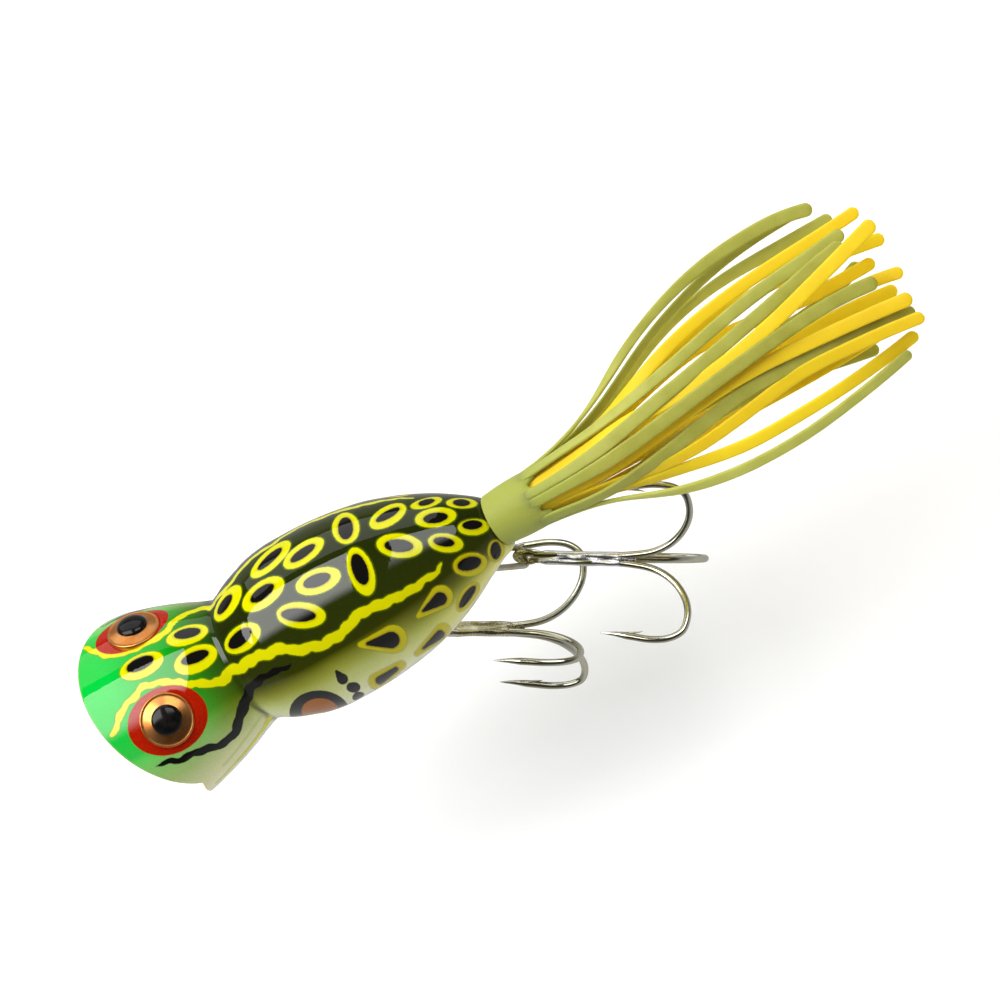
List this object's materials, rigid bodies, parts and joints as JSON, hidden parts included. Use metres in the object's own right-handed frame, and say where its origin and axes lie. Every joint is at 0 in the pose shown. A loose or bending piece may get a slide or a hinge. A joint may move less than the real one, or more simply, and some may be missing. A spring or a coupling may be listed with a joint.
{
  "type": "topwater popper",
  "caption": "Hollow frog-pattern popping lure with scooped mouth, tack eyes, line tie, wire hook hangers, treble hooks and a two-layer strand skirt.",
  "frame": {"origin": "centre of the whole lure's bounding box with hooks and skirt at rest", "axes": "+X towards the nose along the body, +Y to the lure's left side, +Z towards the back"},
  "size_m": [0.117, 0.0318, 0.047],
  "materials": {
    "painted_shell": "moulded plastic, airbrushed frog pattern under a thick gloss clear coat",
    "copper_eye": "polished copper plate",
    "black_pupil": "gloss black",
    "steel_tie": "bright drawn wire and washer",
    "steel_screw": "nickel-plated slotted screw",
    "nickel_wire": "bright nickel plate",
    "bronzed_nickel": "black-nickel and bronze tinted plate, rough silver braze on the shank",
    "green_skirt": "matte translucent moulded elastomer, pale green",
    "yellow_skirt": "matte translucent moulded elastomer, yellow"
  },
  "bodies": {
    "lure_body": {"body_left": "painted_shell", "body_right": "painted_shell", "eye_washer_left": "copper_eye", "eye_pin_left": "black_pupil", "eye_washer_right": "copper_eye", "eye_pin_right": "black_pupil", "line_tie_eye": "steel_tie", "line_tie_washer": "steel_tie", "belly_hanger_bail": "nickel_wire", "belly_hanger_plate": "nickel_wire", "belly_hanger_screw_front": "steel_screw", "belly_hanger_screw_rear": "steel_screw", "tail_hanger_bail": "nickel_wire", "tail_hanger_plate": "nickel_wire", "tail_hanger_screw_front": "steel_screw", "tail_hanger_screw_rear": "steel_screw", "skirt_outer_collar": "green_skirt", "skirt_inner_collar": "yellow_skirt"},
    "belly_treble": {"belly_treble_double": "bronzed_nickel", "belly_treble_single": "bronzed_nickel"},
    "tail_treble": {"tail_treble_double": "bronzed_nickel", "tail_treble_single": "bronzed_nickel"},
    "skirt": {"skirt_outer_strands": "green_skirt", "skirt_inner_strands": "yellow_skirt"}
  },
  "joints": [
    {"name": "belly_treble_swing", "type": "hinge", "parent": "lure_body", "child": "belly_treble", "pos_m": [0.02247, -0.00286, -0.00575], "axis": [0, 1, 0], "range_deg": [-125, 5]},
    {"name": "tail_treble_swing", "type": "hinge", "parent": "lure_body", "child": "tail_treble", "pos_m": [0.00391, -0.00286, -0.00312], "axis": [0, 1, 0], "range_deg": [-45, 6]},
    {"name": "skirt_sweep", "type": "hinge", "parent": "lure_body", "child": "skirt", "pos_m": [-0.00803, -0.00286, 0.0094], "axis": [0, 0, 1], "range_deg": [-25, 25]}
  ]
}
